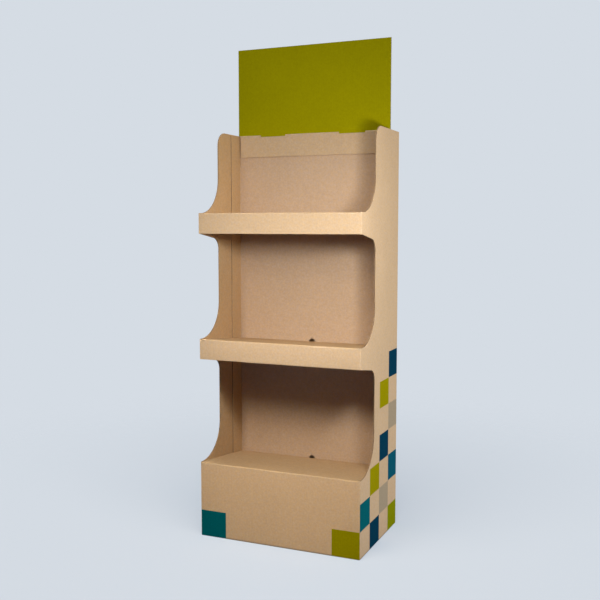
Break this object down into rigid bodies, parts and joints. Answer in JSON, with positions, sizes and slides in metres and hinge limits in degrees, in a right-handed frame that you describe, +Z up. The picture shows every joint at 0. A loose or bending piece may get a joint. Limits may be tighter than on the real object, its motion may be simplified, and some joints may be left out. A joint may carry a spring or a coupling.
{
  "type": "cardboard display stand",
  "caption": "Free-standing corrugated-board display with sloping open floors between curved side panels, a closed base and a plain header card.",
  "frame": {"origin": "centre of the footprint on the floor", "axes": "+Z up, +Y from the open front to the rear wall, +X to the right of someone facing the front"},
  "size_m": [0.6, 0.4, 1.753],
  "materials": {
    "outer_board": "matt kraft liner, printed squares",
    "inner_board": "matt kraft liner, unprinted",
    "header_board": "matt kraft liner, printed one colour"
  },
  "bodies": {
    "root": {"body": "outer_board", "back_panel": "inner_board", "header_card": "header_board"}
  },
  "joints": []
}
